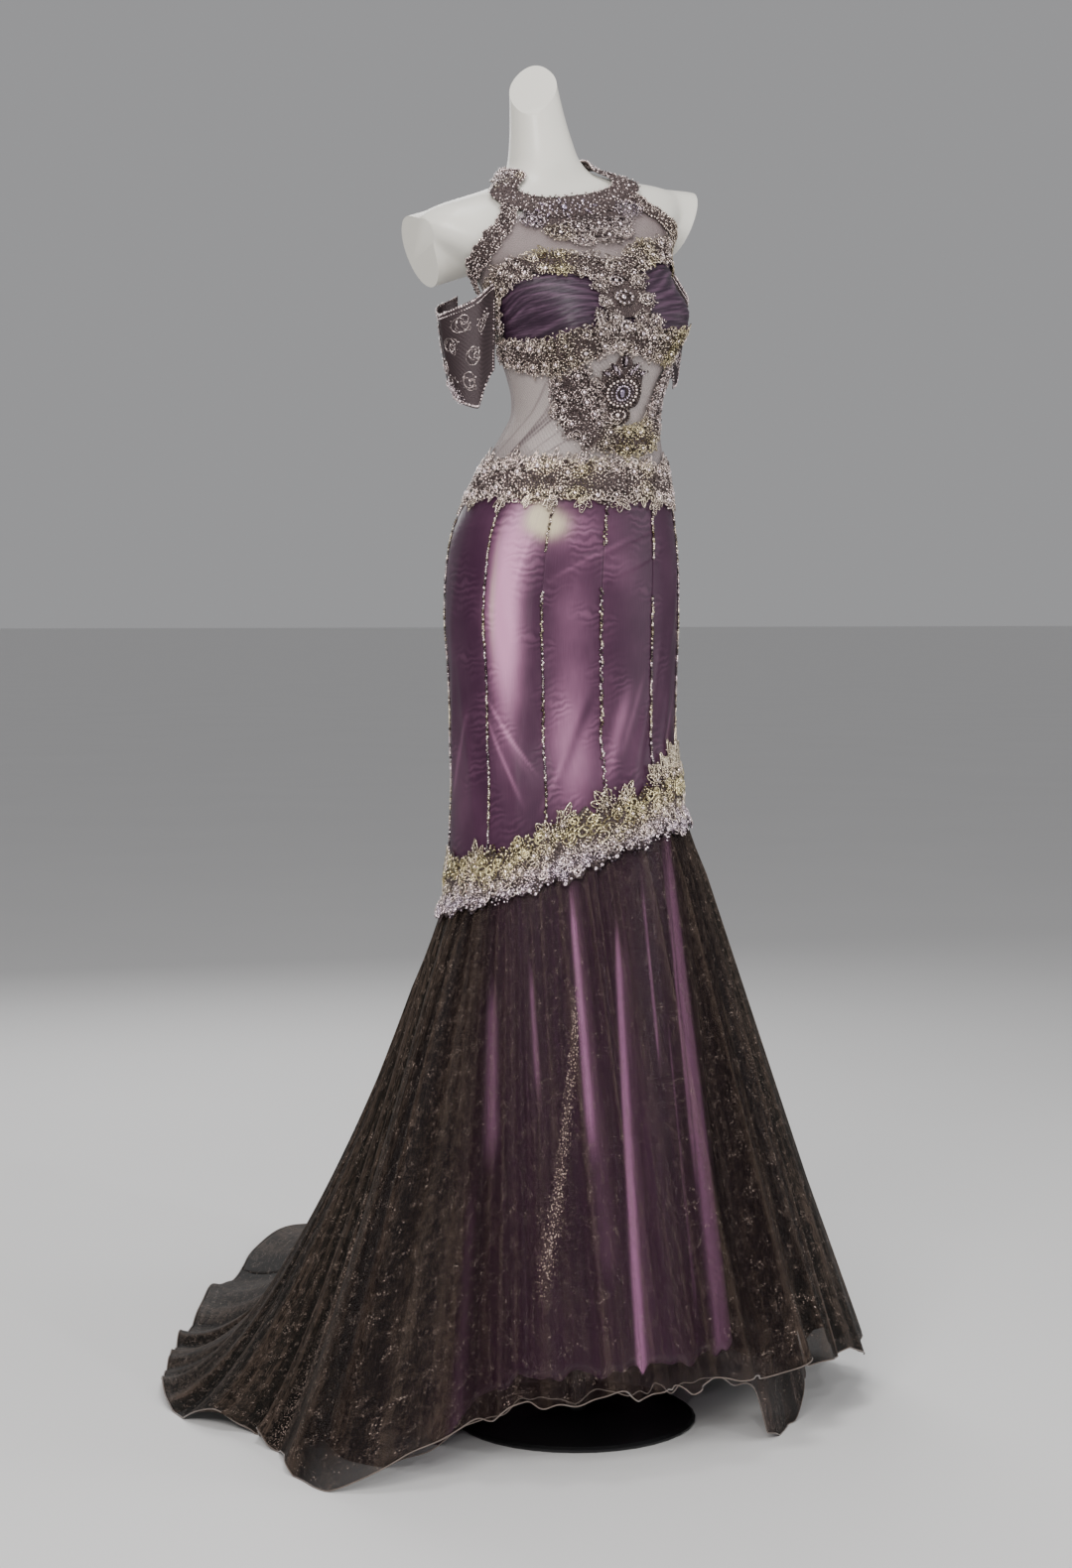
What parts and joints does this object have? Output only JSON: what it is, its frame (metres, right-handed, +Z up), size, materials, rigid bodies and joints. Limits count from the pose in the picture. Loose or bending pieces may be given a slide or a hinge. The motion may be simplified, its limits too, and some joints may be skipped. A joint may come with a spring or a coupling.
{
  "type": "evening gown on a limbless dress form",
  "caption": "Floor-length halter gown with beaded bodice bands, fitted panelled hips, a slanted beaded knee band and a gathered organza flare with a train, on a torso form and round stand.",
  "frame": {"origin": "centre of the stand base's underside, on the floor", "axes": "+Z up, the front of the gown faces -Y, +X is the wearer's left, and the train lies towards +Y"},
  "size_m": [0.8782, 1.3642, 1.6781],
  "materials": {
    "form": "smooth satin white",
    "steel": "black satin powder coat",
    "net": "fine see-through net",
    "chiffon": "ruched chiffon",
    "satin": "satin under shot organza",
    "lining": "glossy satin",
    "organza": "shot organza with a sparse glitter",
    "beads": "silver-lined beads and cut stones",
    "jewel": "cut crystal"
  },
  "bodies": {
    "root": {"form_torso": "form", "stand_base": "steel", "stand_pole": "steel", "stand_socket": "steel", "hip_gore_right_5": "satin", "hip_gore_right_4": "satin", "hip_gore_right_3": "satin", "hip_gore_right_2": "satin", "hip_gore_right_1": "satin", "hip_gore_left_1": "satin", "hip_gore_left_2": "satin", "hip_gore_left_3": "satin", "hip_gore_left_4": "satin", "hip_gore_left_5": "satin", "midriff_net": "net", "back_net_left": "net", "back_net_right": "net", "yoke_net": "net", "sleeve_right": "net", "sleeve_left": "net", "bust_cup_right": "chiffon", "bust_cup_left": "chiffon", "halter_strap_right": "beads", "halter_strap_left": "beads", "border_right": "beads", "border_left": "beads", "underbust_band": "beads", "midriff_garland": "beads", "centre_panel": "beads", "collar_band": "beads", "collar_cluster": "beads", "waist_band": "beads", "knee_band_front": "beads", "knee_band_back": "beads", "midriff_jewel": "jewel", "collar_flower": "jewel", "organza_outer_1": "organza", "organza_outer_2": "organza", "organza_outer_3": "organza", "organza_outer_4": "organza", "organza_outer_5": "organza", "organza_outer_6": "organza", "organza_under_1": "organza", "organza_under_2": "organza", "organza_under_3": "organza", "organza_under_4": "organza", "satin_lining_1": "lining", "satin_lining_2": "lining", "satin_lining_3": "lining", "satin_lining_4": "lining"}
  },
  "joints": []
}
